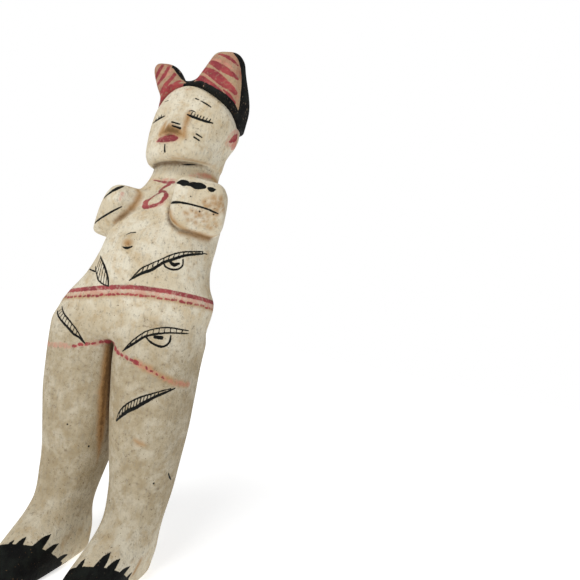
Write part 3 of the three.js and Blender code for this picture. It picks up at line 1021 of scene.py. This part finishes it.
def painted(name, pale, cream, ochre, worn=0.0):
    """Old clay paint on carved wood, with the brush marks over it. Black chips off where worn."""
    f = Finish(name)
    cloud = f.noise(11, 3, 0.55)
    blotch = f.noise(4.5, 5, 0.62, shift=7)
    streak = f.noise(0.9, 3, 0.6, long=9, shift=3)
    tooth = f.noise(0.45, 3, 0.6, shift=5)
    speck = f.noise(0.8, 1, 0.5, shift=11)
    crumb = f.noise(1.6, 4, 0.7, shift=17)
    grime_and_shade = f.measured("grime_and_shade")

    colour = f.mix(pale, cream, cloud.fade(0.38, 0.62))
    colour = f.mix(colour, ochre, blotch.fade(0.46, 0.72, 0, 0.62))
    # The legs are browner than the rest.
    legs = f.height().fade(118, 88) * f.height().fade(8, 34)
    patches = cloud * 0.25 + blotch * 0.45 + crumb * 0.3
    colour = f.mix(colour, TAN, legs * patches.fade(0.34, 0.62, 0.4, 0.85))
    colour = f.mix(colour, GREYED, (streak * 0.6 + crumb * 0.4).fade(0.48, 0.66, 0, 0.4))
    colour = f.mix(colour, UMBER, (crumb * 0.75 + tooth * 0.25).fade(0.54, 0.68, 0, 0.5))
    scratch = (f.noise(7, 3, 0.6, shift=23) - 0.5).maths("ABSOLUTE").fade(0.012, 0.003)
    scratch = scratch * f.noise(9, 1, shift=29).fade(0.5, 0.58)
    colour = f.mix(colour, UMBER, scratch * 0.6)
    # Brown stains, which under the nose, the jaw and the arms are painted shade.
    stain = f.measured("stain") + blotch * 3 + crumb * 1.2
    colour = f.mix(colour, RUST, stain.fade(3.8, 0.9, 0, 0.85))
    colour = f.mix(colour, BARK, (stain + crumb * 2).fade(2.6, 0.8, 0, 0.85))
    # Grime and painted shade darken the hollows.
    colour = f.mix(colour, UMBER, (grime_and_shade + crumb * 0.45).fade(0.36, 0.86, 0, 0.85))

    pink = f.measured("pink") + crumb * 1.4 + streak * 0.5
    thinned = (crumb * 0.5 + blotch * 0.5).fade(0.6, 0.42, 0.2, 1)
    colour = f.mix(colour, PINK, pink.fade(1.5, 0.2, 0, 0.7) * thinned)
    red = f.measured("red") + (crumb * 0.9 + tooth * 0.5)
    wet = red.fade(0.95, 0.45)
    reds = f.mix(CRIMSON, MAROON, cloud.fade(0.4, 0.6))
    colour = f.mix(colour, reds, wet * crumb.fade(0.72, 0.5, 0.35, 0.92))
    black = f.measured("black") + (crumb * 0.6 + tooth * 0.4)
    inked = black.fade(0.66, 0.42) * (streak * 0.4 + crumb * 0.6).fade(0.72 - worn, 0.65 - worn)
    colour = f.mix(colour, f.mix(SOOT, GREENISH, blotch.fade(0.4, 0.65)), inked)
    colour = f.mix(colour, UMBER, speck.fade(0.715, 0.76, 0, 0.75))
    f.feed(colour, "Base Color")

    rough = cloud.fade(0.3, 0.7, 0.72, 0.84) + tooth * 0.12 - inked * 0.12 - wet * 0.12
    f.feed(rough, "Roughness")
    f.shader.inputs["Specular IOR Level"].default_value = 0.12
    brushed = black.fade(0.62, 0.3)
    f.relief((streak, 0.2), (tooth, 0.13), (crumb, 0.3), (blotch, 0.5), (scratch, -0.1), (brushed, 0.05))
    return f.material


white = painted("PaintedCream", (0.74, 0.68, 0.54), (0.64, 0.555, 0.40), (0.52, 0.37, 0.19))
black = painted("PaintedBlack", (0.46, 0.42, 0.33), (0.40, 0.33, 0.24), (0.36, 0.22, 0.13), 0.05)
striped = painted("PaintedCrest", (0.44, 0.32, 0.19), (0.40, 0.22, 0.14), (0.32, 0.09, 0.06), 0.07)
pinked = painted("PaintedPink", (0.62, 0.36, 0.29), (0.55, 0.26, 0.21), (0.48, 0.20, 0.14))

# ---- pieces

up, down = (0, 0, 1), (0, 0, -1)
slanted = (-BAND_SLANT, 0, 1)
against = (BAND_SLANT, 0, -1)
carvings = figure()
body = carvings["body"]
coats = {"body": body_coat(body), "head": head_coat(carvings["head"])}
for side in (1, -1):
    coats[side] = arm_coat(carvings[side], side)
marks = [mark for coat in coats.values() for mark in coat.marks]
for coat in coats.values():
    coat.marks = marks
coat = coats["body"]
for name, material, planes, slot, node in (
    ("Torso", white, [((0, 0, NECK_BASE), up), ((0, 0, BAND_TOP), against)], "white_paint", "torso"),
    ("Neck", white, [((0, 0, NECK_BASE), down), ((0, 0, JAW + 5), up)], "white_paint", "neck"),
    (
        "WaistBand", white,
        [((0, 0, BAND_TOP), slanted), ((0, 0, BAND_BOTTOM), against)], "red_paint", "waist_band",
    ),
    ("Hips", white, [((0, 0, BAND_BOTTOM), slanted), ((0, 0, CROTCH), down)], "white_paint", "hips"),
):
    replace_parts(body.piece(name, material, planes, slot, coat), node)
groove_low, groove_high = Vector((3, 0, ANKLE)), Vector((-2.5, 0, CROTCH))
run = groove_high - groove_low
for word, side in (("left", 1), ("right", -1)):
    inward = Vector((run.z, 0, -run.x)).normalized() * -side
    thigh = [((0, 0, CROTCH), up), ((0, 0, ANKLE), down), (tuple(groove_low), tuple(inward))]
    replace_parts(body.piece("Leg_" + word, white, thigh, "white_paint", coat), "leg_" + word)
    sole = [((0, 0, ANKLE), up), ((3, 0, 0), (-side, 0, 0))]
    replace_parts(body.piece("Foot_" + word, white, sole, "white_paint", coat), "foot_" + word)
    arm = carvings[side].piece("Arm_" + word, white, [], "white_paint", coats[side])
    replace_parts(arm, "arm_" + word)
    ear = carvings["ear_" + word].piece("Ear_" + word, pinked, [], "pink_paint", coats["head"])
    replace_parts(ear, "ear_" + word)
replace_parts(carvings["head"].piece("Head", white, [], "white_paint", coats["head"]), "head")
hair = carvings["hair"]
coat = hair_coat(hair)
crest_foot = (HEAD_X, 0, CREST_BASE)
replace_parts(hair.piece("HairCap", black, [(crest_foot, up)], "black_paint", coat), "hair_cap")
for word, side in (("left", 1), ("right", -1)):
    lobe = [(crest_foot, down), ((HEAD_X, 0, 0), (-side, 0, 0))]
    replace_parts(hair.piece("Crest_" + word, striped, lobe, "striped_paint", coat), "crest_" + word)

# ---- stage

floor_mesh = bpy.data.meshes.new("Floor")
floor_mesh.from_pydata([(-3, -3, 0), (3, -3, 0), (3, 3, 0), (-3, 3, 0)], [], [(0, 1, 2, 3)])
floor = bpy.data.objects.new("Floor", floor_mesh)
floor_paint = Finish("PaleFloor")
floor_paint.shader.inputs["Base Color"].default_value = (0.9, 0.9, 0.9, 1)
floor_paint.shader.inputs["Roughness"].default_value = 0.9
floor_paint.shader.inputs["Emission Color"].default_value = (1, 1, 1, 1)
# The floor glows more with distance, so that it runs into the white backdrop.
away = floor_paint.tree.nodes.new("ShaderNodeVectorMath")
away.operation = "LENGTH"
floor_paint.tree.links.new(floor_paint.place, away.inputs[0])
distance = Value(floor_paint.tree, away.outputs["Value"])
floor_paint.feed(distance.fade(0.15, 0.8, 0.6, 0.85), "Emission Strength")
floor_mesh.materials.append(floor_paint.material)
bpy.context.scene.collection.objects.link(floor)

# The backdrop shows pure white, while less light than that falls on the doll.
world = bpy.data.worlds.new("Studio")
world.use_nodes = True
nodes, links = world.node_tree.nodes, world.node_tree.links
seen = nodes.new("ShaderNodeLightPath")
strength = nodes.new("ShaderNodeMapRange")
strength.inputs["To Min"].default_value = 0.33
strength.inputs["To Max"].default_value = 1.0
links.new(seen.outputs["Is Camera Ray"], strength.inputs["Value"])
links.new(strength.outputs[0], nodes["Background"].inputs["Strength"])
nodes["Background"].inputs["Color"].default_value = (1, 1, 1, 1)
bpy.context.scene.world = world


def softbox(name, place, size, power):
    light = bpy.data.lights.new(name, "AREA")
    light.size = size
    light.energy = power
    lamp = bpy.data.objects.new(name, light)
    lamp.location = place
    lamp.rotation_euler = (Vector((0, 0, 0.12)) - Vector(place)).to_track_quat("-Z", "Y").to_euler()
    bpy.context.scene.collection.objects.link(lamp)


softbox("KeyLight", (-0.1, -0.62, 0.9), 0.4, 5.2)

# ---- camera

LENS = 27.06  # millimetres, on a sensor 36 mm wide
WAIST = 123.0  # height of the point that the camera is placed from
DISTANCE = 205.7  # from that point to the camera, along the camera's axis
ASIDE = -69.3  # that point lies this far to the left of the camera's axis
TURN = math.radians(13)  # the doll is turned this far to its right
LEAN = math.radians(11.5)  # the camera is rolled, so that the doll leans to the picture's right
TIP = 0.1  # and the doll's head tips this much away from the camera

axis_up = Vector((math.sin(LEAN), -math.cos(LEAN), TIP)).normalized()
axis_left = Vector((math.cos(LEAN), math.sin(LEAN), 0))
axis_left = (axis_left - axis_up * axis_left.dot(axis_up)).normalized()
axis_back = axis_up.cross(axis_left)
doll_x = axis_left * math.cos(TURN) - axis_back * math.sin(TURN)
doll_y = axis_up.cross(doll_x)
to_camera = Matrix((doll_x, doll_y, axis_up)).transposed()
place = Vector((0, 0, WAIST)) - to_camera.inverted() @ Vector((ASIDE, 0, DISTANCE))
right, sunk, ahead = (Vector(row) for row in to_camera)
camera_data = bpy.data.cameras.new("Camera")
camera_data.sensor_width = 36
camera_data.lens = LENS
camera_data.clip_start = 0.01
camera = bpy.data.objects.new("Camera", camera_data)
turned = Matrix((right, -sunk, -ahead)).transposed().to_4x4()
camera.matrix_world = Matrix.Translation(SPOT + place * MM) @ turned
bpy.context.scene.collection.objects.link(camera)
bpy.context.scene.camera = camera
bpy.context.scene.view_settings.view_transform = "Standard"
